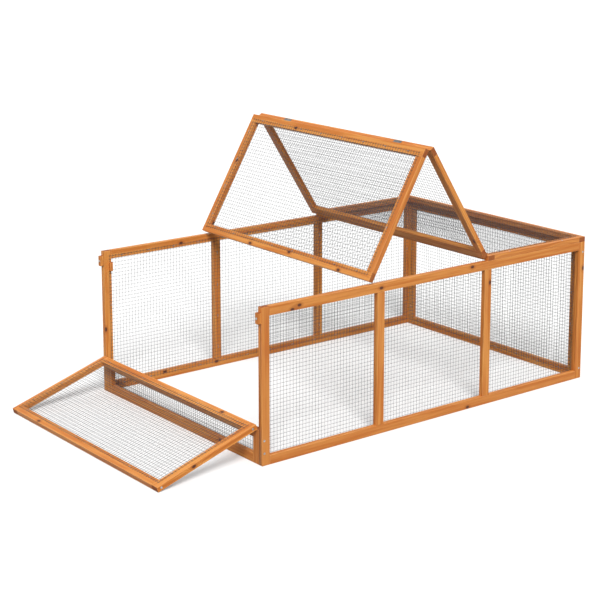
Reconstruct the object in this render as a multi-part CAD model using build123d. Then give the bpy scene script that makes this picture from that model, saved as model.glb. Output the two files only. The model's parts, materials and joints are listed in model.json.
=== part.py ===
from build123d import *
import math
import os

# Chicken run: a netted timber box with a drop-down door at one end and a folding lid.
# Millimetres and degrees. X runs from the door end to the back, Y from the near side
# to the far side and Z up. Every panel is built closed, in that frame, then the door
# and the two hinged lid panels are turned to where they rest. The written parts have
# their origin on the ground, under the middle of the object as it rests.

# Overall sizes
run_length = 1440.0
run_width = 940.0
side_height = 508.0

# Timber stock, with the narrow face across the side panels
timber_thick = 18.0
timber_wide = 30.0
bay_count = 3

# Netting
net_thick = 1.2
net_bar = 3.0
net_cell = 56.0
net_overlap = 15.0
net_corner_gap = 2.0

# Door end
strip_height = 114.0
door_top_clearance = 7.0
door_hinge_gap = 3.5
door_side_gap = 2.0
door_pin_outset = 1.0
door_pin_radius = 0.8
door_knuckle_radius = 1.7

# Lid
lid_front_setback = 8.0
lid_front_length = 470.0
lid_middle_length = 476.0
lid_gap = 2.0
lid_pin_offset = 2.3
lid_pin_radius = 1.0
lid_knuckle_radius = 2.0
lid_open_angle = 57.5
lid_closed_angle = 0.1
lid_fold_ratio = 1.05
lid_foot_clearance = 0.3

# Butt hinges, two to a line
hinge_length = 38.0
hinge_inset = 170.0
hinge_leaf_thick = 0.8
hinge_leaf_depth = 15.0
knuckle_gap = 0.4
pin_overhang = 1.0

# Fastenings
running_gap = 0.3
pin_clearance = 0.1
screw_radius = 2.0
screw_head_radius = 3.8
screw_head_thick = 2.0
short_screw_length = 34.0
long_screw_length = 62.0
strip_screw_low = 40.0
strip_screw_high = 81.0
back_screw_low = 37.0
back_screw_top_distance = 38.0
lid_screw_end_distance = 110.0

# Door stops and turn buttons
stop_gap = 0.5
stop_thick = 11.0
stop_reach = 12.0
stop_long = 32.0
stop_rounding = 3.0
stop_top_distance = 56.0
button_thick = 12.0
button_wide = 16.0
button_long = 36.0
button_gap = 0.5
button_rounding = 2.5
button_top_distance = 34.0

nodes = {}


def block(x, y, z):
    """A squared timber or plate between two X, two Y and two Z values."""
    middle = [(low + high) / 2 for low, high in (x, y, z)]
    return Pos(*middle) * Box(x[1] - x[0], y[1] - y[0], z[1] - z[0])


def net(plane, wide, high):
    """One flat sheet of netting, square holes in one face, centred on the plane."""
    across = round((wide - net_bar) / net_cell)
    up = max(1, round((high - net_bar) / net_cell))
    pitch_across = (wide - net_bar) / across
    pitch_up = (high - net_bar) / up
    hole = Rectangle(pitch_across - net_bar, pitch_up - net_bar)
    holes = [place * hole for place in GridLocations(pitch_across, pitch_up, across, up)]
    sheet = Rectangle(wide, high) - holes
    return plane * extrude(sheet, net_thick)


def screw(length):
    """A flat-headed screw, its head's outer face at the origin and its shank along -Z."""
    head = Pos(0, 0, -screw_head_thick / 2) * Cylinder(screw_head_radius, screw_head_thick)
    shank = Pos(0, 0, -length / 2) * Cylinder(screw_radius, length)
    return head + shank


def screw_hole(length):
    """The counterbore and hole that take a screw, with the running gap all round."""
    depth = screw_head_thick
    head = Pos(0, 0, -depth / 2) * Cylinder(screw_head_radius + running_gap, depth)
    hole_length = length + running_gap
    hole = Pos(0, 0, -hole_length / 2) * Cylinder(screw_radius + running_gap, hole_length)
    return head + hole


def fasten(places, length, timbers):
    """Screws at the given places, and their holes through the named timbers."""
    hole = screw_hole(length)
    for timber in timbers:
        nodes[timber] = nodes[timber] - [place * hole for place in places]
    return [place * screw(length) for place in places]


def hinge(gap, knuckle_radius, pin_radius):
    """Fixed leaf, moving leaf and pin of one butt hinge that fills a gap.

    The pin lies along Y through the origin, the fixed leaf is on the +X side of the
    gap and both leaves hang along -Z. The fixed leaf has the two outer knuckles.
    """
    half = hinge_length / 2
    third = hinge_length / 3
    start = knuckle_radius + running_gap
    bore = Rot(90, 0, 0) * Cylinder(pin_radius + pin_clearance, hinge_length * 2)

    def leaf(side, spans):
        outer = side * gap / 2
        inner = outer - side * hinge_leaf_thick
        x = (min(inner, outer), max(inner, outer))
        body = block(x, (-half, half), (-start - hinge_leaf_depth, -start))
        for low, high in spans:
            knuckle = Rot(90, 0, 0) * Cylinder(knuckle_radius, high - low)
            body += Pos(0, (low + high) / 2, 0) * knuckle
            body += block(x, (low, high), (-start, 0))
        return body - bore

    inner_end = third / 2
    outer_start = inner_end + knuckle_gap
    fixed = leaf(1, [(-half, -outer_start), (outer_start, half)])
    moving = leaf(-1, [(-inner_end, inner_end)])
    pin = Rot(90, 0, 0) * Cylinder(pin_radius, hinge_length + 2 * pin_overhang)
    return fixed, moving, pin


def hinge_line(name, axis, turn, gap, knuckle_radius, pin_radius):
    """Two hinges on one line, as three nodes: fixed leaves, moving leaves and pins."""
    pieces = hinge(gap, knuckle_radius, pin_radius)
    rows = (hinge_inset, run_width - hinge_inset)
    for piece, word in zip(pieces, ("fixed_leaves", "moving_leaves", "pins")):
        copies = [Pos(axis[0], row, axis[1]) * turn * piece for row in rows]
        nodes[f"{name}_{word}"] = copies


# Side panels: full-height posts, rails and mid posts between them, net on the inside
post_x = (0.0, timber_wide)
rear_post_x = (run_length - timber_wide, run_length)
rail_x = (timber_wide, run_length - timber_wide)
bottom_z = (0.0, timber_wide)
top_z = (side_height - timber_wide, side_height)
between_z = (timber_wide, side_height - timber_wide)
bay = run_length / bay_count
mid_x = [(bay * n - timber_wide / 2, bay * n + timber_wide / 2) for n in range(1, bay_count)]
side_net_ends = timber_thick + net_corner_gap
side_net_long = run_length - 2 * side_net_ends
side_net_high = side_height - 2 * (timber_wide - net_overlap)

for side in ("near", "far"):
    near = side == "near"
    y = (0.0, timber_thick) if near else (run_width - timber_thick, run_width)
    nodes[f"{side}_front_post"] = block(post_x, y, (0, side_height))
    nodes[f"{side}_rear_post"] = block(rear_post_x, y, (0, side_height))
    nodes[f"{side}_top_rail"] = block(rail_x, y, top_z)
    nodes[f"{side}_bottom_rail"] = block(rail_x, y, bottom_z)
    for x, word in zip(mid_x, ("front", "rear")):
        nodes[f"{side}_mid_post_{word}"] = block(x, y, between_z)
    inner_y = y[1] if near else y[0] - net_thick
    plane = Plane((run_length / 2, inner_y, side_height / 2), x_dir=(-1, 0, 0), z_dir=(0, 1, 0))
    nodes[f"{side}_net"] = net(plane, side_net_long, side_net_high)

# Back panel and the low strip under the doorway, both between the side panels
inside_y = (timber_thick, run_width - timber_thick)
cross_y = (inside_y[0] + timber_wide, inside_y[1] - timber_wide)
cross_net_wide = inside_y[1] - inside_y[0] - 2 * (timber_wide - net_overlap)
panels = {
    "back": ((run_length - timber_thick, run_length), side_height),
    "strip": ((0.0, timber_thick), strip_height),
}
for name, (x, high) in panels.items():
    nodes[f"{name}_post_near"] = block(x, (inside_y[0], cross_y[0]), (0, high))
    nodes[f"{name}_post_far"] = block(x, (cross_y[1], inside_y[1]), (0, high))
    nodes[f"{name}_bottom_rail"] = block(x, cross_y, bottom_z)
    nodes[f"{name}_top_rail"] = block(x, cross_y, (high - timber_wide, high))
    inner_x = x[0] - net_thick if name == "back" else x[1]
    plane = Plane((inner_x, run_width / 2, high / 2), x_dir=(0, 1, 0), z_dir=(1, 0, 0))
    nodes[f"{name}_net"] = net(plane, cross_net_wide, high - 2 * (timber_wide - net_overlap))

# Door, built closed: flush with the front posts, just above the strip
door_x = (0.0, timber_thick)
door_y = (inside_y[0] + door_side_gap, inside_y[1] - door_side_gap)
door_z = (strip_height + door_hinge_gap, side_height - door_top_clearance)
door_rail_y = (door_y[0] + timber_wide, door_y[1] - timber_wide)
nodes["door_side_rail_near"] = block(door_x, (door_y[0], door_rail_y[0]), door_z)
nodes["door_side_rail_far"] = block(door_x, (door_rail_y[1], door_y[1]), door_z)
nodes["door_hinge_rail"] = block(door_x, door_rail_y, (door_z[0], door_z[0] + timber_wide))
nodes["door_free_rail"] = block(door_x, door_rail_y, (door_z[1] - timber_wide, door_z[1]))
door_net_margin = timber_wide - net_overlap
door_middle = (door_x[1], run_width / 2, sum(door_z) / 2)
nodes["door_net"] = net(
    Plane(door_middle, x_dir=(0, 1, 0), z_dir=(1, 0, 0)),
    door_y[1] - door_y[0] - 2 * door_net_margin,
    door_z[1] - door_z[0] - 2 * door_net_margin,
)
door_pin = (-door_pin_outset, strip_height + door_hinge_gap / 2)

# Lid panels, built closed on top of the side panels, with their nets on top
lid_z = (side_height, side_height + timber_thick)
front_x = (lid_front_setback, lid_front_setback + lid_front_length)
middle_x = (front_x[1] + lid_gap, front_x[1] + lid_gap + lid_middle_length)
rear_x = (middle_x[1] + lid_gap, run_length)
lid_rail_y = (timber_wide, run_width - timber_wide)
lid_net_margin = timber_wide - net_overlap
for name, x in (("rear", rear_x), ("middle", middle_x), ("front", front_x)):
    full_y = (0.0, run_width)
    side_x = (x[0] + timber_wide, x[1] - timber_wide)
    nodes[f"lid_{name}_cross_rail_front"] = block((x[0], side_x[0]), full_y, lid_z)
    nodes[f"lid_{name}_cross_rail_rear"] = block((side_x[1], x[1]), full_y, lid_z)
    nodes[f"lid_{name}_side_rail_near"] = block(side_x, (0.0, lid_rail_y[0]), lid_z)
    nodes[f"lid_{name}_side_rail_far"] = block(side_x, (lid_rail_y[1], run_width), lid_z)
    plane = Plane((sum(x) / 2, run_width / 2, lid_z[1]))
    nodes[f"lid_{name}_net"] = net(
        plane,
        x[1] - x[0] - 2 * lid_net_margin,
        run_width - 2 * lid_net_margin,
    )

# Hinge lines. The valley pin is above the lid's top face and the ridge pin under it.
valley_pin = (middle_x[1] + lid_gap / 2, lid_z[1] + lid_pin_offset)
ridge_pin = (front_x[1] + lid_gap / 2, lid_z[0] - lid_pin_offset)
lid_hinge = (lid_gap, lid_knuckle_radius, lid_pin_radius)
hinge_line("valley_hinge", valley_pin, Rot(0, 0, 0), *lid_hinge)
hinge_line("ridge_hinge", ridge_pin, Rot(180, 0, 0), *lid_hinge)
door_hinge = (door_hinge_gap, door_knuckle_radius, door_pin_radius)
door_leaves_inward = Rot(0, -90, 0) * Rot(0, 0, 180)
hinge_line("door_hinge", door_pin, door_leaves_inward, *door_hinge)

# Door stops on the inner faces of the front posts, over the side nets
stop_x = (door_x[1] + stop_gap, door_x[1] + stop_gap + stop_thick)
stop_middle_z = side_height - stop_top_distance
stop_z = (stop_middle_z - stop_long / 2, stop_middle_z + stop_long / 2)
for side in ("near", "far"):
    inner_y = inside_y[0] + net_thick if side == "near" else inside_y[1] - net_thick
    tip_y = inner_y + stop_reach if side == "near" else inner_y - stop_reach
    stop = block(stop_x, (min(inner_y, tip_y), max(inner_y, tip_y)), stop_z)
    tip = stop.faces().sort_by(Axis.Y)[-1 if side == "near" else 0]
    nodes[f"door_stop_{side}"] = fillet(tip.edges(), stop_rounding)

# Turn buttons in front of the posts, each on a screw at its middle
button_x = (-button_gap - button_thick, -button_gap)
button_z = side_height - button_top_distance
button_rows = {"near": timber_thick / 2, "far": run_width - timber_thick / 2}
button_hole = Rot(0, 90, 0) * Cylinder(screw_radius + running_gap, button_thick * 2)
for side, row in button_rows.items():
    y = (row - button_wide / 2, row + button_wide / 2)
    button = block(button_x, y, (button_z - button_long / 2, button_z + button_long / 2))
    button = fillet(button.edges().filter_by(Axis.X), button_rounding)
    middle = Pos(sum(button_x) / 2, row, button_z)
    nodes[f"turn_button_{side}"] = button - middle * button_hole

# Screws. Each list of places has the screw's outward direction along local +Z.
near_out = Rot(90, 0, 0)
far_out = Rot(-90, 0, 0)
front_out = Rot(0, -90, 0)
cross_panel_screws = {
    "strip": (timber_thick / 2, (strip_screw_low, strip_screw_high), "front"),
    "back": (
        run_length - timber_thick / 2,
        (back_screw_low, side_height - back_screw_top_distance),
        "rear",
    ),
}
frame_screws = []
for name, (x, heights, end) in cross_panel_screws.items():
    for side, out, y in (("near", near_out, 0.0), ("far", far_out, run_width)):
        places = [Pos(x, y, z) * out for z in heights]
        timbers = (f"{side}_{end}_post", f"{name}_post_{side}")
        frame_screws += fasten(places, short_screw_length, timbers)
for side, y in (("near", timber_thick / 2), ("far", run_width - timber_thick / 2)):
    rows = (rear_x[0] + lid_screw_end_distance, rear_x[1] - lid_screw_end_distance)
    places = [Pos(x, y, lid_z[1]) for x in rows]
    timbers = (f"lid_rear_side_rail_{side}", f"{side}_top_rail")
    frame_screws += fasten(places, short_screw_length, timbers)
nodes["frame_screws"] = frame_screws

door_screws = []
for side, out, y in (("near", near_out, door_y[0]), ("far", far_out, door_y[1])):
    heights = {"hinge": door_z[0] + timber_wide / 2, "free": door_z[1] - timber_wide / 2}
    for rail, z in heights.items():
        place = [Pos(timber_thick / 2, y, z) * out]
        timbers = (f"door_side_rail_{side}", f"door_{rail}_rail")
        door_screws += fasten(place, long_screw_length, timbers)
nodes["door_screws"] = door_screws

button_screws = []
button_screw_face = button_x[0] - running_gap - screw_head_thick
pilot_length = short_screw_length + running_gap
pilot = Pos(0, 0, -pilot_length / 2) * Cylinder(screw_radius + running_gap, pilot_length)
for side, row in button_rows.items():
    place = Pos(button_screw_face, row, button_z) * front_out
    nodes[f"{side}_front_post"] = nodes[f"{side}_front_post"] - place * pilot
    button_screws.append(place * screw(short_screw_length))
nodes["button_screws"] = button_screws


def polar(x, z):
    """Length and angle above +X of a point beside a pin."""
    return math.hypot(x, z), math.degrees(math.atan2(z, x))


def turned(x, z, angle):
    """A point beside a pin after a turn from +Z towards +X."""
    sine = math.sin(math.radians(angle))
    cosine = math.cos(math.radians(angle))
    return x * cosine + z * sine, z * cosine - x * sine


# The door hangs until the outer corner of its free edge is on the ground
reach, lean = polar(door_x[0] - door_pin[0], door_z[1] - door_pin[1])
door_turn = math.degrees(math.acos(-door_pin[1] / reach)) + 90 - lean
door_rest = Pos(door_pin[0], 0, door_pin[1]) * Rot(0, -door_turn, 0)
door_rest = door_rest * Pos(-door_pin[0], 0, -door_pin[1])


# The lid's front panel leans on nothing: both hinges hold its foot just clear of the
# side panels. Its angle follows the middle panel's at a fixed ratio, so it is the
# steepest that leaves the foot clear at every stage of the fold.
def front_angle_limit(middle_angle):
    """Steepest front panel that keeps its foot clear at one middle panel angle."""
    ridge = turned(ridge_pin[0] - valley_pin[0], ridge_pin[1] - valley_pin[1], middle_angle)
    drop = valley_pin[1] + ridge[1] - side_height - lid_foot_clearance
    foot_reach, foot_lean = polar(ridge_pin[0] - front_x[0], lid_z[0] - ridge_pin[1])
    return math.degrees(math.asin(drop / foot_reach)) + foot_lean


lid_travel = lid_open_angle - lid_closed_angle
fold_stages = 200
travel_steps = [lid_travel * n / fold_stages for n in range(fold_stages + 1)]
lid_front_angle = min(
    front_angle_limit(lid_open_angle - step) + lid_fold_ratio * step for step in travel_steps
)
lid_front_closed = lid_front_angle - lid_fold_ratio * lid_travel

middle_rest = Pos(valley_pin[0], 0, valley_pin[1]) * Rot(0, lid_open_angle, 0)
middle_rest = middle_rest * Pos(-valley_pin[0], 0, -valley_pin[1])
ridge_offset = turned(ridge_pin[0] - valley_pin[0], ridge_pin[1] - valley_pin[1], lid_open_angle)
ridge_rest = (valley_pin[0] + ridge_offset[0], valley_pin[1] + ridge_offset[1])
front_rest = Pos(ridge_rest[0], 0, ridge_rest[1]) * Rot(0, -lid_front_angle, 0)
front_rest = front_rest * Pos(-ridge_pin[0], 0, -ridge_pin[1])

rest_places = {}
for name in nodes:
    if name.startswith("door_") and not name.startswith("door_stop"):
        rest_places[name] = door_rest
    if name.startswith("lid_middle"):
        rest_places[name] = middle_rest
    if name.startswith("lid_front"):
        rest_places[name] = front_rest
for name in ("door_hinge_fixed_leaves", "door_hinge_pins"):
    del rest_places[name]
rest_places["valley_hinge_moving_leaves"] = middle_rest
rest_places["ridge_hinge_fixed_leaves"] = middle_rest
rest_places["ridge_hinge_pins"] = middle_rest
rest_places["ridge_hinge_moving_leaves"] = front_rest

# The lowered door's inner corner is the furthest point forward
far_corner = turned(door_x[1] - door_pin[0], door_z[1] - door_pin[1], -door_turn)
front_reach = door_pin[0] + far_corner[0]
middle_x_of_all = (front_reach + run_length) / 2
to_origin = Pos(-middle_x_of_all, -run_width / 2, 0)

os.makedirs("parts", exist_ok=True)
for name, shape in nodes.items():
    place = to_origin * rest_places.get(name, Pos(0, 0, 0))
    pieces = shape if isinstance(shape, list) else [shape]
    solids = [solid for piece in pieces for solid in (place * piece).solids()]
    whole = Compound(children=solids) if len(solids) > 1 else solids[0]
    export_step(whole, f"parts/{name}.step")

for word, (x, z) in {"door": door_pin, "valley": valley_pin, "ridge at rest": ridge_rest}.items():
    print(f"{word} pin: x {x - middle_x_of_all:.3f}, z {z:.3f}")
print(f"door closes through {door_turn:.3f} degrees and reaches x {front_reach:.3f}")
print(f"lid: front panel at {lid_front_angle:.3f}, closes to {lid_front_closed:.3f}")
print(f"lid travel {lid_travel:.3f}, ridge follows at {1 + lid_fold_ratio:.3f}")
print(f"buttons: x {sum(button_x) / 2 - middle_x_of_all:.3f}, z {button_z:.3f}")
print(f"{len(nodes)} nodes")
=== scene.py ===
# %% [markdown]
# # A folding netted run
#
# The object is a low timber run with welded wire netting, a drop-down door at one end
# and a lid that folds up into a ridge. The timbers, screws and hinges come in at the
# right size from a fixed frame. This lesson dresses that frame: rounded boards with
# grain and knots, real netting wire by wire, staples, and screws with a driver recess.
# Everything is in metres.

# %% Load the frame
import json
import math
import random

import bpy
from mathutils import Matrix, Vector


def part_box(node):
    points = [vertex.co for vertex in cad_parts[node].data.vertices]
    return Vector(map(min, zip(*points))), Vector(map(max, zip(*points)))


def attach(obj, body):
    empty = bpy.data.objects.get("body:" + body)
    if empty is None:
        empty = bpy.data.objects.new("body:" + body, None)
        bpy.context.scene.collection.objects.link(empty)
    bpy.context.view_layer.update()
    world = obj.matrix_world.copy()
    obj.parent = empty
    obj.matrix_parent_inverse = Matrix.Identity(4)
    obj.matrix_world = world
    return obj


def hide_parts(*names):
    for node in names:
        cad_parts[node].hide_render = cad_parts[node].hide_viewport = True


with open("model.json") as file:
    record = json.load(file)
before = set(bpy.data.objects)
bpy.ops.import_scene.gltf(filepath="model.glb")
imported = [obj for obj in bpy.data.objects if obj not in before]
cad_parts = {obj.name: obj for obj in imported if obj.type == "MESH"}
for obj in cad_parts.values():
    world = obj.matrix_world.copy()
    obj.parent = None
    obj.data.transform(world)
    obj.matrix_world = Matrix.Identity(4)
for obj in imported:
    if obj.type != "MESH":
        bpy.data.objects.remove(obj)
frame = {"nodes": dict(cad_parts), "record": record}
nodes = frame["nodes"]
bodies = frame["record"]["behaviour"]["bodies"]
body_of_node = {node: body for body, members in bodies.items() for node in members}
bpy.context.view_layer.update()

# %% [markdown]
# ## The camera
# The picture is taken from a little above the ridge with a long lens, so upright
# posts stay nearly parallel. A lens shift, rather than more tilt, brings the object up
# into the picture, in the way that an architect's camera does it.

# %% Camera
camera_data = bpy.data.cameras.new("camera")
camera_data.lens = 95.326
camera_data.sensor_width = 36.0
camera_data.shift_y = -0.2
camera_data.clip_end = 100.0
camera = bpy.data.objects.new("camera", camera_data)
camera.location = (-3.3010, -4.2125, 1.8042)
camera.rotation_euler = (math.radians(90.0 - 10.965), 0.0, math.radians(-37.921))
bpy.context.scene.collection.objects.link(camera)
bpy.context.scene.camera = camera
bpy.context.view_layer.update()
print("camera at", tuple(round(c, 3) for c in camera.location))


# %% [markdown]
# ## Working by hand, in code
# Every operator acts on what is selected. These few helpers do what a modeller does
# between tools: deselect everything, pick one object, and pick faces or edges by where
# they are.

# %% Selection helpers
def pick(thing):
    """Deselect everything, then select one object and make it active."""
    bpy.ops.object.select_all(action="DESELECT")
    thing.select_set(True)
    bpy.context.view_layer.objects.active = thing


def edit(thing, kind="VERT"):
    """Open one object in edit mode with nothing selected."""
    pick(thing)
    bpy.ops.object.mode_set(mode="EDIT")
    bpy.ops.mesh.select_mode(type=kind)
    bpy.ops.mesh.select_all(action="DESELECT")
    bpy.ops.object.mode_set(mode="OBJECT")


def select_faces(thing, test):
    """Select the faces that pass a test, and leave the object open in edit mode."""
    edit(thing, "FACE")
    for face in thing.data.polygons:
        face.select = bool(test(face))
    bpy.ops.object.mode_set(mode="EDIT")


def select_edges(thing, test):
    """Select the edges whose two end points pass a test, and stay in edit mode."""
    edit(thing, "EDGE")
    points = thing.data.vertices
    for edge in thing.data.edges:
        a, b = (points[i].co for i in edge.vertices)
        edge.select = bool(test(a, b))
    bpy.ops.object.mode_set(mode="EDIT")


def leave_edit():
    bpy.ops.object.mode_set(mode="OBJECT")


def settle(thing):
    """Put the object's place into its mesh, so that its own origin is the shared one."""
    pick(thing)
    bpy.ops.object.transform_apply(location=True, rotation=True, scale=True)


def join(things, name):
    """Join several objects into the first one."""
    bpy.ops.object.select_all(action="DESELECT")
    for thing in things:
        thing.select_set(True)
    bpy.context.view_layer.objects.active = things[0]
    if len(things) > 1:
        bpy.ops.object.join()
    things[0].name = name
    return things[0]


def copy_of(thing, matrix):
    """A copy with its own mesh, moved by a matrix."""
    twin = bpy.data.objects.new(thing.name + "_copy", thing.data.copy())
    twin.data.transform(matrix)
    bpy.context.scene.collection.objects.link(twin)
    return twin


# %% [markdown]
# ## A board's own directions
# Grain runs along a board whichever way the board is turned, so each board needs its
# own directions: along its longest edge, across its wide face, and through its
# thickness. They are read from the mesh, which also works for the lid panels and the
# door, whose boards lean.

# %% Directions of a flat piece
FACING = Vector((0.31, 0.57, 0.76))
HEADING = Vector((0.76, 0.57, 0.31))
SAME_POINT = 0.000002
FLAT_ANGLE = math.radians(0.5)


def flat_axes(mesh):
    """Middle, long direction, cross direction and thickness direction of a flat mesh."""
    weights = {}
    for face in mesh.polygons:
        normal = face.normal
        if normal.dot(FACING) < 0:
            normal = -normal
        key = tuple(round(c, 3) for c in normal)
        weights[key] = weights.get(key, 0.0) + face.area
    through = Vector(max(weights, key=weights.get)).normalized()
    points = [v.co for v in mesh.vertices]
    best = 0.0
    for edge in mesh.edges:
        run = points[edge.vertices[1]] - points[edge.vertices[0]]
        if run.length > best and abs(run.normalized().dot(through)) < 0.01:
            best = run.length
            along = run.normalized()
    if along.dot(HEADING) < 0:
        along = -along
    across = through.cross(along)
    middle = Vector()
    spans = []
    for axis in (along, across, through):
        reach = [p.dot(axis) for p in points]
        middle += axis * (min(reach) + max(reach)) / 2
        spans.append(max(reach) - min(reach))
    return middle, along, across, through, spans


def merged_copy(node, name):
    """A cleaned copy of a frame node: doubles merged and flat faces made whole."""
    thing = bpy.data.objects.new(name, nodes[node].data.copy())
    thing.data.materials.clear()
    bpy.context.scene.collection.objects.link(thing)
    pick(thing)
    bpy.ops.mesh.customdata_custom_splitnormals_clear()
    bpy.ops.object.mode_set(mode="EDIT")
    bpy.ops.mesh.select_all(action="SELECT")
    bpy.ops.mesh.remove_doubles(threshold=SAME_POINT)
    bpy.ops.mesh.dissolve_limited(angle_limit=FLAT_ANGLE)
    leave_edit()
    return thing


# %% [markdown]
# ## Building materials from nodes
# A material is a small graph, and so is the world. The helper adds a node, sets its
# options and fills its inputs with either a number or another node's output, so each
# finish below reads as a list of steps.

# %% Node helper
WHITE = (1.0, 1.0, 1.0, 1.0)


class Graph:
    """The nodes of one material or world, built up step by step."""

    def __init__(self, owner, shader):
        self.owner = owner
        owner.use_nodes = True
        self.tree = owner.node_tree
        self.shader = self.tree.nodes[shader]

    def add(self, kind, inputs=None, **options):
        node = self.tree.nodes.new(kind)
        for key, value in options.items():
            setattr(node, key, value)
        for key, value in (inputs or {}).items():
            if isinstance(value, bpy.types.NodeSocket):
                self.tree.links.new(value, node.inputs[key])
            else:
                node.inputs[key].default_value = value
        return node

    def calc(self, operation, a, b=0.0, c=0.0):
        inputs = {0: a, 1: b, 2: c}
        return self.add("ShaderNodeMath", inputs, operation=operation).outputs[0]

    def vector(self, operation, a, b=(0.0, 0.0, 0.0)):
        made = self.add("ShaderNodeVectorMath", {0: a, 1: b}, operation=operation)
        return made.outputs["Value" if operation == "LENGTH" else "Vector"]

    def value(self, name):
        return self.add("ShaderNodeAttribute", attribute_name=name).outputs["Fac"]

    def place(self, name):
        return self.add("ShaderNodeAttribute", attribute_name=name).outputs["Vector"]

    def noise(self, where, scale, detail=3.0, roughness=0.55):
        inputs = {"Vector": where, "Scale": scale, "Detail": detail, "Roughness": roughness}
        return self.add("ShaderNodeTexNoise", inputs).outputs["Fac"]

    def smooth(self, value, low, high, start=0.0, end=1.0):
        inputs = {"Value": value, "From Min": low, "From Max": high}
        inputs.update({"To Min": start, "To Max": end})
        made = self.add("ShaderNodeMapRange", inputs, interpolation_type="SMOOTHSTEP")
        return made.outputs["Result"]

    def mix(self, share, a, b, blend="MIX"):
        inputs = {0: share, 6: a, 7: b}
        made = self.add("ShaderNodeMix", inputs, data_type="RGBA", blend_type=blend)
        return made.outputs[2]

    def wear(self, name, value):
        target = self.shader.inputs[name]
        if isinstance(value, bpy.types.NodeSocket):
            self.tree.links.new(value, target)
        else:
            target.default_value = value

    def bump(self, height, distance, strength=1.0):
        inputs = {"Height": height, "Distance": distance, "Strength": strength}
        self.wear("Normal", self.add("ShaderNodeBump", inputs).outputs["Normal"])

    def seen(self):
        """1 for the camera and for rays that bounce off or pass through something shiny."""
        path = self.add("ShaderNodeLightPath").outputs
        direct = self.calc("MAXIMUM", path["Is Camera Ray"], path["Is Glossy Ray"])
        return self.calc("MAXIMUM", direct, path["Is Transmission Ray"])


def new_finish(name):
    return Graph(bpy.data.materials.new(name), "Principled BSDF")


# %% [markdown]
# ## Stained softwood
# The boards are planed softwood with an orange-brown stain. Rings are circles round a
# pith that lies outside the small section, so on a face they show as long lines. The
# distance from that pith, counted off in even steps, gives them. Noise stretched along
# the board gives the fibres, and a slow noise gives the blotches where stain soaked in
# unevenly. Knots are placed points: the rings bulge round each one and its middle is
# dark. End grain drinks more stain and comes out darker and redder.

# %% Wood finish
KNOT_NAMES = ("knot_a", "knot_b", "knot_c", "knot_d")


def wood_finish():
    wood = new_finish("stained softwood")
    board = wood.place("board")
    seed = wood.value("seed")
    shift = wood.add("ShaderNodeCombineXYZ", {0: seed, 1: seed, 2: seed}).outputs[0]
    swirl = 0.0
    heart = 0.0
    for name in KNOT_NAMES:
        away = wood.vector("SUBTRACT", board, wood.place(name))
        round_away = wood.vector("MULTIPLY", away, (0.62, 1.0, 1.0))
        far = wood.vector("LENGTH", round_away)
        swirl = wood.calc("ADD", wood.smooth(far, 0.022, 0.0), swirl)
        heart = wood.calc("MAXIMUM", wood.smooth(far, 0.0062, 0.0034), heart)
    # Rings round an off-board pith
    drift = wood.noise(wood.vector("ADD", board, shift), 2.6, 2.0)
    pith = wood.calc("MULTIPLY_ADD", drift, 0.022, wood.calc("MULTIPLY", swirl, 0.010))
    pith = wood.calc("ADD", pith, wood.calc("MULTIPLY_ADD", seed, 0.013, 0.035))
    off = wood.add("ShaderNodeCombineXYZ", {0: 0.0, 1: pith, 2: 0.018}).outputs[0]
    flat = wood.vector("MULTIPLY", wood.vector("ADD", board, off), (0.0, 1.0, 1.0))
    turns = wood.calc("MULTIPLY", wood.vector("LENGTH", flat), 330.0)
    ring = wood.calc("FRACT", turns)
    ring = wood.calc("MULTIPLY", wood.smooth(ring, 0.0, 0.82), wood.smooth(ring, 1.0, 0.86))
    # Fibres and stain
    shifted = wood.vector("ADD", board, shift)
    fibre = wood.noise(wood.vector("MULTIPLY", shifted, (9.0, 420.0, 420.0)), 1.0, 4.0, 0.6)
    streak = wood.noise(wood.vector("MULTIPLY", shifted, (3.2, 95.0, 95.0)), 1.0, 3.0, 0.6)
    blotch = wood.noise(wood.vector("MULTIPLY", shifted, (7.0, 22.0, 22.0)), 1.0, 2.0, 0.5)
    pale = (0.800, 0.355, 0.080, 1.0)
    middle = (0.590, 0.190, 0.026, 1.0)
    deep = (0.300, 0.068, 0.010, 1.0)
    soaked = (0.43, 0.112, 0.020, 1.0)
    browner = (0.47, 0.140, 0.028, 1.0)
    knot_brown = (0.085, 0.022, 0.008, 1.0)
    end_red = (0.20, 0.040, 0.012, 1.0)
    rubbed = (0.78, 0.40, 0.150, 1.0)
    colour = wood.mix(wood.smooth(streak, 0.41, 0.61), pale, middle)
    colour = wood.mix(wood.calc("MULTIPLY", ring, 0.42), colour, deep)
    colour = wood.mix(wood.smooth(fibre, 0.50, 0.80, 0.0, 0.55), colour, deep)
    colour = wood.mix(wood.smooth(blotch, 0.50, 0.78, 0.0, 0.40), colour, soaked)
    tone = wood.calc("SUBTRACT", seed, wood.calc("FLOOR", seed))
    colour = wood.mix(wood.calc("MULTIPLY", tone, 0.46), colour, browner)
    halo = wood.smooth(swirl, 0.35, 0.95, 0.0, 0.50)
    colour = wood.mix(halo, colour, deep)
    colour = wood.mix(heart, colour, knot_brown)
    colour = wood.mix(wood.calc("MULTIPLY", wood.value("end"), 0.72), colour, end_red)
    worn = wood.calc("MULTIPLY", wood.value("arris"), wood.smooth(blotch, 0.35, 0.6, 0.10, 0.42))
    colour = wood.mix(worn, colour, rubbed)
    wood.wear("Base Color", colour)
    rough = wood.calc("MULTIPLY_ADD", fibre, 0.22, 0.44)
    wood.wear("Roughness", wood.calc("ADD", rough, wood.calc("MULTIPLY", wood.value("end"), 0.2)))
    wood.wear("Specular IOR Level", 0.35)
    relief = wood.calc("ADD", wood.calc("MULTIPLY", fibre, 0.6), wood.calc("MULTIPLY", ring, 0.5))
    relief = wood.calc("SUBTRACT", relief, wood.calc("MULTIPLY", heart, 0.6))
    wood.bump(relief, 0.00022, 0.8)
    return wood.owner


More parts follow.
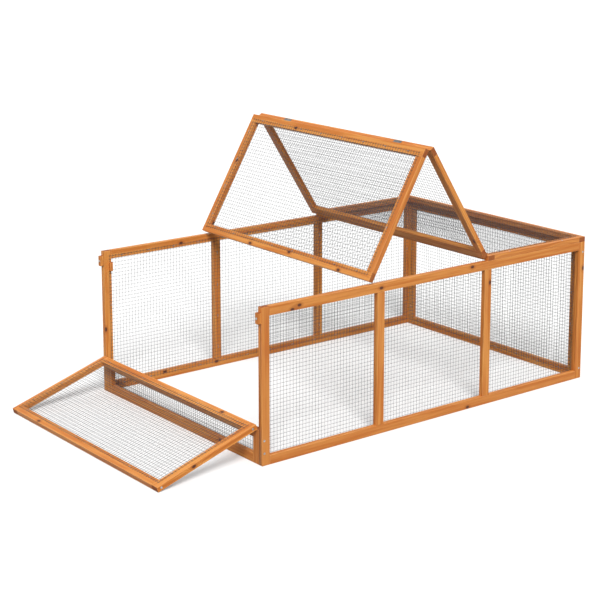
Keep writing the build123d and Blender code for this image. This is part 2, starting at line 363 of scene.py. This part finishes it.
WOOD = wood_finish()
print("wood finish:", len(WOOD.node_tree.nodes), "nodes")

# %% [markdown]
# ## Metals
# The netting is galvanised and has gone a dull, dark grey. Screws and hinge pins are
# zinc plated, brighter and smoother, and the hinge leaves are a darker steel. A metal
# shows mostly what it reflects, so the noise goes into both its colour and its
# roughness.

# %% Metal finishes
def metal_finish(name, bright, dull, rough, scale, metallic):
    metal = new_finish(name)
    where = metal.add("ShaderNodeTexCoord").outputs["Object"]
    fine = metal.noise(where, scale, 3.0, 0.6)
    slow = metal.noise(where, scale * 0.07, 2.0, 0.5)
    both = metal.calc("MULTIPLY_ADD", slow, 0.6, metal.calc("MULTIPLY", fine, 0.4))
    metal.wear("Base Color", metal.mix(metal.smooth(both, 0.32, 0.68), bright, dull))
    metal.wear("Metallic", metallic)
    metal.wear("Specular IOR Level", 0.25)
    metal.wear("Roughness", metal.smooth(fine, 0.3, 0.7, rough, rough + 0.18))
    metal.bump(fine, 0.00006, 0.5)
    return metal.owner


def grey(level, blue=0.0):
    """A grey, with its blue raised or lowered a little."""
    return (level, level, level + blue, 1.0)


WIRE_PALE = (0.100, 0.104, 0.112, 1.0)
WIRE_DARK = (0.035, 0.036, 0.040, 1.0)
WIRE = metal_finish("galvanised wire", WIRE_PALE, WIRE_DARK, 0.58, 900.0, 0.12)
STAPLE = metal_finish("staple wire", grey(0.50), grey(0.24, 0.01), 0.35, 1200.0, 0.8)
ZINC = metal_finish("zinc plate", grey(0.62, -0.01), grey(0.38, -0.01), 0.30, 1500.0, 0.85)
HINGE = metal_finish("hinge steel", grey(0.26), grey(0.12, 0.005), 0.38, 800.0, 0.8)
print("metal finishes:", WIRE.name, STAPLE.name, ZINC.name, HINGE.name)

# %% [markdown]
# ## Knots where the real boards have them
# A knot is given by a board and the pixel where it shows. A straight line from the
# camera through that pixel meets the board at one point, and that point is the knot.
# Other boards get a few knots at random, from a fixed seed.

# %% Knot places
SEEN_KNOTS = [
    ("near_top_rail", 292.5, 309.5), ("near_top_rail", 299.5, 305.0),
    ("near_top_rail", 381.5, 288.0), ("near_top_rail", 472.5, 267.0),
    ("near_bottom_rail", 467.5, 407.0), ("near_mid_post_rear", 490.0, 282.5),
    ("near_rear_post", 583.0, 268.0), ("lid_front_cross_rail_front", 250.0, 243.0),
    ("lid_front_cross_rail_front", 289.0, 252.0), ("lid_front_cross_rail_front", 338.0, 270.0),
    ("lid_front_side_rail_far", 237.0, 160.0), ("lid_front_side_rail_far", 213.5, 223.5),
    ("lid_front_cross_rail_rear", 296.0, 128.0), ("far_front_post", 106.0, 329.5),
    ("far_bottom_rail", 165.0, 371.5), ("far_bottom_rail", 193.5, 362.0),
    ("far_bottom_rail", 216.6, 361.3), ("far_top_rail", 181.0, 243.0),
    ("door_side_rail_near", 194.0, 466.5),
]
FRAME_PIXELS = 600
focal_pixels = camera_data.lens / camera_data.sensor_width * FRAME_PIXELS
middle_row = FRAME_PIXELS * (0.5 + camera_data.shift_y)


def knot_point(node, across, down):
    """Where the line through one pixel meets a board, or None."""
    look = Vector((across - FRAME_PIXELS / 2, middle_row - down, -focal_pixels))
    look = (camera.matrix_world.to_3x3() @ look).normalized()
    hit, point, _, _ = nodes[node].ray_cast(camera.location, look)
    return point if hit else None


seen_points = {}
for node, across, down in SEEN_KNOTS:
    point = knot_point(node, across, down)
    if point is None:
        print("no knot met at", node, across, down)
    else:
        seen_points.setdefault(node, []).append(point)
print("knots placed:", sum(len(v) for v in seen_points.values()))


# %% [markdown]
# ## Boards
# Planed timber never has a razor edge: the planer and a rub of sandpaper leave a
# slightly round arris, and that is what catches the light. Each board starts as a
# cleaned copy of its frame node. Only its long sharp edges are selected, so that the
# rims of the screw holes stay crisp, and then bevelled. The buttons and stops have
# rounded rims made of short edges, so there every sharp edge away from the hole is taken.

# %% Round the arrises
ARRIS = 0.0012
SMALL_ARRIS = 0.0008
HOLE_REACH = 0.004
LONG_EDGE = 0.007


def clear_of_hole(point, low, high):
    """True where a point is away from the middle line, through which a screw passes."""
    size = high - low
    thin = min(range(3), key=lambda i: size[i])
    away = point - (low + high) / 2
    away[thin] = 0.0
    return away.length > HOLE_REACH


def round_arrises(board, node, width, small):
    mesh = board.data
    low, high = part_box(node)
    around = {}
    for face in mesh.polygons:
        for key in face.edge_keys:
            around.setdefault(key, []).append(face.normal.copy())
    sharp = set()
    for key, normals in around.items():
        if len(normals) == 2 and normals[0].dot(normals[1]) < 0.5:
            sharp.add(key)
    edit(board, "EDGE")
    for edge in mesh.edges:
        a, b = (mesh.vertices[i].co for i in edge.vertices)
        if small:
            wanted = clear_of_hole((a + b) / 2, low, high)
        else:
            wanted = (a - b).length > LONG_EDGE
        edge.select = wanted and tuple(sorted(edge.vertices)) in sharp
    bpy.ops.object.mode_set(mode="EDIT")
    bpy.ops.mesh.bevel(offset=width, segments=2, affect="EDGES", profile=0.5)
    leave_edit()


def keep_inside(board, node):
    """Pull any corner that the bevel pushed out back into the frame node's box."""
    low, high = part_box(node)
    for v in board.data.vertices:
        for i in range(3):
            v.co[i] = min(max(v.co[i], low[i]), high[i])


# %% [markdown]
# The material needs to know where on the board each point is, which board it is, and
# which faces are end grain or arris. All of that is stored on the mesh as named
# attributes, so the pattern stays with the wood when a panel swings.

# %% Store the board's own map
NOWHERE = Vector((9.0, 9.0, 9.0))


def map_board(board, node, luck):
    mesh = board.data
    middle, along, across, through, spans = flat_axes(mesh)
    turn = Matrix((along, across, through))
    flip = luck.choice((-1.0, 1.0))
    places = mesh.attributes.new("board", "FLOAT_VECTOR", "POINT")
    for i, v in enumerate(mesh.vertices):
        own = turn @ (v.co - middle)
        places.data[i].vector = (own.x, own.y * flip, own.z)
    seeds = mesh.attributes.new("seed", "FLOAT", "POINT")
    seed = luck.uniform(0.0, 4.0)
    seeds.data.foreach_set("value", [seed] * len(mesh.vertices))
    ends = mesh.attributes.new("end", "FLOAT", "FACE")
    rounds = mesh.attributes.new("arris", "FLOAT", "FACE")
    for i, face in enumerate(mesh.polygons):
        parts = [abs(face.normal.dot(axis)) for axis in (along, across, through)]
        ends.data[i].value = 1.0 if parts[0] > 0.6 else 0.0
        rounds.data[i].value = 1.0 if max(parts) < 0.97 and parts[0] < 0.5 else 0.0
    knots = []
    for point in seen_points.get(node, []):
        own = turn @ (point - middle)
        knots.append(Vector((own.x, own.y * flip, own.z)))
    if not knots:
        for _ in range(luck.choice((0, 0, 1, 1, 2)) if spans[0] > 0.3 else 0):
            side = luck.choice((-1.0, 1.0))
            along_at = luck.uniform(-0.45, 0.45) * spans[0]
            across_at = luck.uniform(-0.4, 0.4) * spans[1]
            knots.append(Vector((along_at, across_at, side * spans[2] / 2)))
    knots += [NOWHERE] * (len(KNOT_NAMES) - len(knots))
    for name, knot in zip(KNOT_NAMES, knots):
        held = mesh.attributes.new(name, "FLOAT_VECTOR", "POINT")
        held.data.foreach_set("vector", list(knot) * len(mesh.vertices))
    return spans


def make_board(node, luck, width=ARRIS, small=False):
    board = merged_copy(node, node + "_board")
    round_arrises(board, node, width, small)
    keep_inside(board, node)
    spans = map_board(board, node, luck)
    board.data.materials.append(WOOD)
    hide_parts(node)
    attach(board, body_of_node[node])
    return spans


# %% [markdown]
# Everything in the frame that is neither netting nor metal is a board, so one loop
# makes them all. The random choices come from one seeded source, in one fixed order, so
# each run gives the same timber.

# %% Make every board
NOT_WOOD = ("net", "screws", "leaves", "pins")
wood_nodes = sorted(n for n in nodes if not n.endswith(NOT_WOOD))
luck = random.Random(41)
for node in wood_nodes:
    small = node.startswith(("door_stop", "turn_button"))
    spans = make_board(node, luck, SMALL_ARRIS if small else ARRIS, small)
print("boards:", len(wood_nodes), "last one", [round(s, 4) for s in spans])

# %% [markdown]
# ## Netting
# Welded mesh is two flat layers of straight wires, one lying on the other, welded at
# each crossing with a half-inch pitch. One wire is modelled, cut along its length so
# that it can wander, and an array repeats it. A second, turned set is laid on top.
# The sheet is cut from a roll, so the crossing wires end in short stubs, and between
# the timbers it bellies out by a millimetre.

# %% One layer of wires
PITCH = 0.0127
WIRE_RADIUS = 0.00046
WIRE_SIDES = 5
LAYER_STEP = 0.00076


def wire_layer(name, length, spread, height):
    """Wires along X, repeated across Y and centred, at a height above the flat."""
    bpy.ops.object.select_all(action="DESELECT")
    bpy.ops.mesh.primitive_cylinder_add(
        vertices=WIRE_SIDES, radius=WIRE_RADIUS, depth=length, rotation=(0, math.pi / 2, 0)
    )
    layer = bpy.context.object
    layer.name = name
    settle(layer)
    select_edges(layer, lambda a, b: abs(a.x - b.x) > length * 0.9)
    bpy.ops.mesh.subdivide(number_cuts=max(4, round(length / 0.09)))
    leave_edit()
    count = int((spread - 2 * WIRE_RADIUS) / PITCH) + 1
    array = layer.modifiers.new("repeat", "ARRAY")
    array.use_relative_offset = False
    array.use_constant_offset = True
    array.constant_offset_displace = (0.0, PITCH, 0.0)
    array.count = count
    pick(layer)
    bpy.ops.object.modifier_apply(modifier="repeat")
    layer.data.transform(Matrix.Translation((0, -(count - 1) * PITCH / 2, height)))
    return layer


# %% [markdown]
# Each sheet lies where its flat frame node lies. The side of the timber that it is
# fixed to comes from one of that panel's rails, so that the first layer touches wood.

# %% Lay one sheet of netting
MARGIN = 0.016
BELLY = 0.0016
WANDER = 0.0007


def lay_net(node, rail, bays, luck):
    flat = merged_copy(node, "measure")
    middle, along, across, through, spans = flat_axes(flat.data)
    bpy.data.objects.remove(flat)
    low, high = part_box(rail)
    if (middle - (low + high) / 2).dot(through) < 0:
        through = -through
        across = -across
    long, wide = spans[0], spans[1]
    base = -spans[2] / 2 + WIRE_RADIUS
    first = wire_layer(node + "_wires", long, wide, base)
    second = wire_layer(node + "_cross", wide, long, 0.0)
    quarter_turn = Matrix.Rotation(math.pi / 2, 4, "Z")
    second.data.transform(Matrix.Translation((0, 0, base + LAYER_STEP)) @ quarter_turn)
    sheet = join([first, second], node + "_wires")
    phase = [luck.uniform(0, 6.28) for _ in range(4)]
    for v in sheet.data.vertices:
        x, y = v.co.x, v.co.y
        free_x = abs(math.sin(math.pi * bays * (x / long + 0.5)))
        loose = abs(y) < wide / 2 - MARGIN
        free_y = max(0.0, math.cos(math.pi * y / (wide - 2 * MARGIN))) if loose else 0.0
        free = (free_x * free_y) ** 0.7
        wave = 0.5 + 0.3 * math.sin(7 * x + phase[0]) + 0.2 * math.sin(11 * y + 3 * x + phase[1])
        v.co.z += BELLY * free * wave
        v.co.x += WANDER * free * math.sin(9 * y + phase[2])
        v.co.y += WANDER * free * math.sin(8 * x + phase[3])
    place = Matrix((along, across, through)).transposed().to_4x4()
    place.translation = middle
    sheet.data.transform(place)
    sheet.data.materials.append(WIRE)
    pick(sheet)
    bpy.ops.object.shade_smooth_by_angle(angle=math.radians(80))
    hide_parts(node)
    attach(sheet, body_of_node[node])
    return sheet, place, spans


# %% [markdown]
# ## Staples
# A staple is a short bar whose two ends are bent down into the wood. It is modelled
# once: a bar is cut near both ends, the small end faces underneath are extruded down,
# and the upper corners are rounded.

# %% One staple
CROWN = 0.0100
GAUGE = 0.0007
CROWN_WIDE = 0.0012
LEG = 0.0026

bpy.ops.object.select_all(action="DESELECT")
bpy.ops.mesh.primitive_cube_add(size=1.0, scale=(CROWN, CROWN_WIDE, GAUGE))
staple = bpy.context.object
staple.name = "one_staple"
settle(staple)
for side in (-1, 1):
    edit(staple)
    bpy.ops.object.mode_set(mode="EDIT")
    bpy.ops.mesh.select_all(action="SELECT")
    bpy.ops.mesh.bisect(plane_co=(side * (CROWN / 2 - GAUGE), 0, 0), plane_no=(1, 0, 0))
    leave_edit()
select_faces(staple, lambda f: f.normal.z < -0.9 and abs(f.center.x) > CROWN / 2 - GAUGE)
bpy.ops.mesh.extrude_region_move(TRANSFORM_OT_translate={"value": (0, 0, -LEG)})
leave_edit()
select_edges(staple, lambda a, b: min(a.z, b.z) > GAUGE * 0.4 and abs(a.y - b.y) < 1e-6)
bpy.ops.mesh.bevel(offset=0.00022, segments=1, affect="EDGES")
leave_edit()
print("staple faces:", len(staple.data.polygons))


# %% [markdown]
# Staples go round the edge of a sheet, over the timber that it overlaps, one about
# every 110 mm. A long side panel also has posts behind its middle, which get a short
# row each. No two staples are driven at quite the same slant, so each copy is turned
# and nudged a little.

# %% Staple a sheet down
STAPLE_PITCH = 0.11
STAPLE_INSET = 0.0065
POST_STAPLES = 4


def staple_places(long, wide, posts):
    """Spots round the edge of a sheet, and along any posts behind its middle."""
    spots = []
    for span, other, turned in ((long, wide, False), (wide, long, True)):
        count = round(span / STAPLE_PITCH)
        for n in range(count):
            at = (n + 0.5) / count * span - span / 2
            for side in (-1, 1):
                edge = side * (other / 2 - STAPLE_INSET)
                spots.append((edge, at, 90.0) if turned else (at, edge, 0.0))
    for post in posts:
        for n in range(POST_STAPLES):
            at = (n - (POST_STAPLES - 1) / 2) / POST_STAPLES * wide
            spots.append((post, at, 90.0))
    return spots


def staple_net(node, place, spans, posts, luck):
    long, wide, thick = spans
    crown_height = -thick / 2 + 2 * WIRE_RADIUS + LAYER_STEP + GAUGE / 2
    copies = []
    for x, y, turn in staple_places(long, wide, posts):
        lean = math.radians(turn + luck.uniform(-12, 12))
        shift = (x, y + luck.uniform(-0.002, 0.002), crown_height)
        driven = Matrix.Translation(shift) @ Matrix.Rotation(lean, 4, "Z")
        copies.append(copy_of(staple, place @ driven))
    piece = join(copies, node + "_staples")
    piece.data.materials.clear()
    piece.data.materials.append(STAPLE)
    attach(piece, body_of_node[node])
    return len(copies)


# %% [markdown]
# Every sheet is laid and stapled in the same way. The list gives, for each, a rail of
# its own panel and the number of bays that the posts divide it into.

# %% Lay and staple every sheet
RUN_LENGTH = 1.44

SHEETS = {
    "near_net": ("near_top_rail", 3), "far_net": ("far_top_rail", 3),
    "back_net": ("back_top_rail", 1), "strip_net": ("strip_top_rail", 1),
    "door_net": ("door_free_rail", 1), "lid_rear_net": ("lid_rear_cross_rail_front", 1),
    "lid_middle_net": ("lid_middle_cross_rail_front", 1),
    "lid_front_net": ("lid_front_cross_rail_front", 1),
}
for node, (rail, bays) in SHEETS.items():
    sheet, place, spans = lay_net(node, rail, bays, luck)
    posts = [(n / bays - 0.5) * RUN_LENGTH for n in range(1, bays)]
    staples = staple_net(node, place, spans, posts, luck)
    print(node, len(sheet.data.polygons), "wire faces,", staples, "staples")
bpy.data.objects.remove(staple)

# %% [markdown]
# ## Screws
# The frame's screws are plain. A real one has a shallow dished head with a cross
# recess. One head is turned from a disc, its rim is rounded, and two crossed bars are
# cut out of it with a boolean. A straight shank with a tapered tip is extruded from
# underneath.

# %% One screw
HEAD_RADIUS = 0.0038
HEAD_THICK = 0.0020
SHANK_RADIUS = 0.0019
TIP = 0.006
TIP_SHARE = 0.15
RECESS = (0.0042, 0.0010, 0.0026)


def driver_bar(angle):
    bpy.ops.object.select_all(action="DESELECT")
    bpy.ops.mesh.primitive_cube_add(size=1.0, scale=RECESS, rotation=(0, 0, angle))
    bar = bpy.context.object
    settle(bar)
    return bar


def model_screw(length):
    bpy.ops.object.select_all(action="DESELECT")
    bpy.ops.mesh.primitive_cylinder_add(
        vertices=24, radius=HEAD_RADIUS, depth=HEAD_THICK, location=(0, 0, -HEAD_THICK / 2)
    )
    made = bpy.context.object
    settle(made)
    select_faces(made, lambda f: f.normal.z < -0.9)
    bpy.ops.mesh.inset(thickness=HEAD_RADIUS - SHANK_RADIUS)
    for reach in (length - HEAD_THICK - TIP, TIP):
        bpy.ops.mesh.extrude_region_move(TRANSFORM_OT_translate={"value": (0, 0, -reach)})
    bpy.ops.transform.resize(value=(TIP_SHARE, TIP_SHARE, 1.0))
    leave_edit()
    select_edges(made, lambda a, b: min(a.z, b.z) > -0.0001)
    bpy.ops.mesh.bevel(offset=0.0005, segments=2, affect="EDGES")
    leave_edit()
    for angle in (0.0, math.pi / 2):
        bar = driver_bar(angle)
        cut = made.modifiers.new("recess", "BOOLEAN")
        cut.object = bar
        pick(made)
        bpy.ops.object.modifier_apply(modifier="recess")
        bpy.data.objects.remove(bar)
    pick(made)
    bpy.ops.object.shade_smooth_by_angle(angle=math.radians(35))
    return made


# %% [markdown]
# Each frame screw is a loose part of its node. Its longest direction is its axis, and
# its wide end is the head.

# %% Put a screw at each place
def loose_parts(node):
    flat = merged_copy(node, "measure")
    pick(flat)
    bpy.ops.object.mode_set(mode="EDIT")
    bpy.ops.mesh.select_all(action="SELECT")
    bpy.ops.mesh.separate(type="LOOSE")
    leave_edit()
    parts = list(bpy.context.selected_objects)
    clouds = [[v.co.copy() for v in part.data.vertices] for part in parts]
    for part in parts:
        bpy.data.objects.remove(part)
    return clouds


def screw_place(points):
    """Matrix that puts a screw's head face and outward direction on these points."""
    low = Vector([min(p[i] for p in points) for i in range(3)])
    high = Vector([max(p[i] for p in points) for i in range(3)])
    size = high - low
    axis = max(range(3), key=lambda i: size[i])
    middle = (low + high) / 2
    wide = max(points, key=lambda p: sum((p[i] - middle[i]) ** 2 for i in range(3) if i != axis))
    out = Vector([0.0, 0.0, 0.0])
    out[axis] = 1.0 if wide[axis] > middle[axis] else -1.0
    head = middle.copy()
    head[axis] = high[axis] if out[axis] > 0 else low[axis]
    place = out.to_track_quat("Z", "Y").to_matrix().to_4x4()
    place.translation = head
    return place, size[axis]


for node in ("frame_screws", "door_screws", "button_screws"):
    copies = []
    for points in loose_parts(node):
        place, length = screw_place(points)
        if not copies:
            model = model_screw(length)
        spin = Matrix.Rotation(luck.uniform(0, math.pi), 4, "Z")
        copies.append(copy_of(model, place @ spin))
    bpy.data.objects.remove(model)
    piece = join(copies, node + "_turned")
    piece.data.materials.clear()
    piece.data.materials.append(ZINC)
    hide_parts(node)
    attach(piece, body_of_node[node])
    print(node, len(copies), "screws of", round(length, 4))

# %% [markdown]
# ## Hinges
# The hinge leaves, knuckles and pins have the right shape already, so they only need
# their steel finish.

# %% Hinge finish
for name, thing in nodes.items():
    if name.endswith(("leaves", "pins")):
        thing.data.materials.clear()
        thing.data.materials.append(ZINC if name.endswith("pins") else HINGE)

# %% [markdown]
# ## Floor, world and light
# The object stands on a large white plane. It is lit like the object, and where it is
# seen, directly or in a reflection, it adds a little white of its own, so the open
# floor reaches white while the shadow under the timbers stays. To all other rays it is
# a dull grey, which keeps the undersides of the boards dark.

# %% Floor
DULL_FLOOR = (0.22, 0.22, 0.22, 1.0)
PALE_FLOOR = (0.76, 0.76, 0.76, 1.0)
FLOOR_GLOW = 0.19


def white_floor():
    floor = new_finish("white sweep")
    floor.wear("Roughness", 0.9)
    floor.wear("Specular IOR Level", 0.0)
    seen = floor.seen()
    floor.wear("Base Color", floor.mix(seen, DULL_FLOOR, PALE_FLOOR))
    floor.wear("Emission Color", WHITE)
    floor.wear("Emission Strength", floor.calc("MULTIPLY", seen, FLOOR_GLOW))
    return floor.owner


bpy.ops.object.select_all(action="DESELECT")
bpy.ops.mesh.primitive_plane_add(size=60.0, location=(0, 0, -0.0004))
sweep = bpy.context.object
sweep.name = "sweep"
sweep.data.materials.append(white_floor())

# %% [markdown]
# The world is the same white in every direction. The camera, and rays that bounce off
# or pass through something shiny, see it at full white, so metal shows the white room.
# Everything else receives it at a lower level, as fill. The broad key sun comes from
# over the camera's shoulder and gives shape, and a faint one from above softens it.

# %% World and lamps
FILL = 0.43
world = bpy.data.worlds.new("white room")
bpy.context.scene.world = world
room = Graph(world, "Background")
room.wear("Color", WHITE)
room.wear("Strength", room.calc("MULTIPLY_ADD", room.seen(), 1.0 - FILL, FILL))


def lamp(name, strength, spread, azimuth, height):
    """A soft sun that shines from a compass direction and height, in degrees."""
    data = bpy.data.lights.new(name, "SUN")
    data.energy = strength
    data.angle = math.radians(spread)
    light = bpy.data.objects.new(name, data)
    a, h = math.radians(azimuth), math.radians(height)
    source = Vector((math.cos(a) * math.cos(h), math.sin(a) * math.cos(h), math.sin(h)))
    light.rotation_euler = source.to_track_quat("Z", "Y").to_euler()
    bpy.context.scene.collection.objects.link(light)
    return light


lamp("key", 3.60, 24.0, 238.0, 44.0)
lamp("top", 0.25, 60.0, 120.0, 78.0)
bpy.context.scene.view_settings.view_transform = "Standard"
print("lamps set, fill", FILL)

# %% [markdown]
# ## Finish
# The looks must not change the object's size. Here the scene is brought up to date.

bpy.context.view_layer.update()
